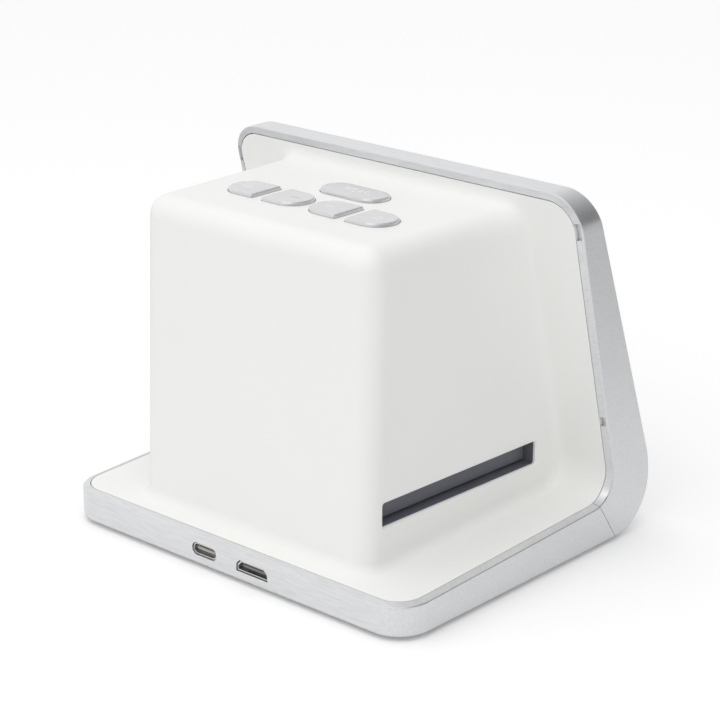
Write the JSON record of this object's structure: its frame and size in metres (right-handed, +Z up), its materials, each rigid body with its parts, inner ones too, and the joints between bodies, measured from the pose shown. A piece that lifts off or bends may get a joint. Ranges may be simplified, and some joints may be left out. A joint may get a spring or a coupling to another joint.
{
  "type": "film negative scanner",
  "caption": "Desktop film negative scanner: a tall block with a side-to-side film slot and top keys behind a leaning screen on a bent base plate.",
  "frame": {"origin": "under the middle of the outline, on the surface the feet stand on", "axes": "-Y is the screen side where the user sits, +X is at the user's right hand along the film's way, +Z is up"},
  "size_m": [0.127, 0.1068, 0.1045],
  "materials": {
    "housing_white": "fine satin moulded",
    "band_silver": "satin silver paint",
    "screen_glass": "polished, black behind",
    "key_silver": "satin silver",
    "cover_grey": "fine texture",
    "foot_rubber": "matte",
    "steel": "plain",
    "socket_metal": "bright",
    "socket_tongue": "matte",
    "flap_dark": "matte",
    "passage_dark": "matte",
    "barrel_black": "black satin",
    "lens_glass": "coated",
    "opal": "opal",
    "light_white": "matte",
    "lamp": "gloss",
    "board_green": "satin",
    "chip_black": "satin",
    "panel_dark": "satin",
    "gasket_black": "foam",
    "ribbon_amber": "satin"
  },
  "bodies": {
    "scanner": {"backlight_board": "board_green", "backlight_leds": "lamp", "base_band": "band_silver", "board_parts": "chip_black", "board_screws": "steel", "bottom_cover": "cover_grey", "bottom_screws": "steel", "camera_ribbon": "ribbon_amber", "camera_screws": "steel", "camera_tower": "passage_dark", "card_socket": "socket_metal", "diffuser": "opal", "film_roof": "passage_dark", "film_tray": "passage_dark", "flap_pin_left": "steel", "flap_pin_right": "steel", "flap_spring_left": "steel", "flap_spring_right": "steel", "foot_front_left": "foot_rubber", "foot_front_right": "foot_rubber", "foot_rear_left": "foot_rubber", "foot_rear_right": "foot_rubber", "front_glass": "screen_glass", "front_lens": "lens_glass", "glass_gasket": "gasket_black", "hdmi_shell": "socket_metal", "hdmi_tongue": "socket_tongue", "image_sensor": "chip_black", "key_board": "board_green", "key_board_screws": "steel", "key_ribbon": "ribbon_amber", "key_switches": "passage_dark", "lcd_bracket": "steel", "lcd_panel": "panel_dark", "lcd_ribbon": "ribbon_amber", "lcd_screws": "steel", "lens_barrel": "barrel_black", "lens_holder": "passage_dark", "light_box": "light_white", "main_board": "board_green", "passage_screws": "steel", "rear_housing": "housing_white", "rear_lens": "lens_glass", "screen_band": "band_silver", "sensor_board": "board_green", "usb_c_shell": "socket_metal", "usb_c_tongue": "socket_tongue"},
    "flap_left": {"flap_left": "flap_dark"},
    "flap_right": {"flap_right": "flap_dark"},
    "key_left_inner": {"key_left_inner": "key_silver", "plunger_left_inner": "light_white"},
    "key_left_outer": {"key_left_outer": "key_silver", "plunger_left_outer": "light_white"},
    "key_right_inner": {"key_right_inner": "key_silver", "plunger_right_inner": "light_white"},
    "key_right_outer": {"key_right_outer": "key_silver", "plunger_right_outer": "light_white"},
    "key_main": {"key_main": "key_silver", "plunger_main": "light_white"}
  },
  "joints": [
    {"name": "press_left_inner", "type": "slide", "parent": "scanner", "child": "key_left_inner", "axis": [0, 0, -1], "range_m": [0, 0.0006], "stiffness_N_per_m": 300, "springref_m": -0.0003},
    {"name": "press_left_outer", "type": "slide", "parent": "scanner", "child": "key_left_outer", "axis": [0, 0, -1], "range_m": [0, 0.0006], "stiffness_N_per_m": 300, "springref_m": -0.0003},
    {"name": "press_right_inner", "type": "slide", "parent": "scanner", "child": "key_right_inner", "axis": [0, 0, -1], "range_m": [0, 0.0006], "stiffness_N_per_m": 300, "springref_m": -0.0003},
    {"name": "press_right_outer", "type": "slide", "parent": "scanner", "child": "key_right_outer", "axis": [0, 0, -1], "range_m": [0, 0.0006], "stiffness_N_per_m": 300, "springref_m": -0.0003},
    {"name": "press_main", "type": "slide", "parent": "scanner", "child": "key_main", "axis": [0, 0, -1], "range_m": [0, 0.0006], "stiffness_N_per_m": 300, "springref_m": -0.0003},
    {"name": "swing_left", "type": "hinge", "parent": "scanner", "child": "flap_left", "pos_m": [-0.0384, 0.00605, 0.02795], "axis": [-0.0314, -0.9995, 0], "range_deg": [-78, 78], "stiffness_Nm_per_rad": 0.0004},
    {"name": "swing_right", "type": "hinge", "parent": "scanner", "child": "flap_right", "pos_m": [0.0384, 0.00605, 0.02795], "axis": [-0.0314, 0.9995, 0], "range_deg": [-78, 78], "stiffness_Nm_per_rad": 0.0004}
  ]
}
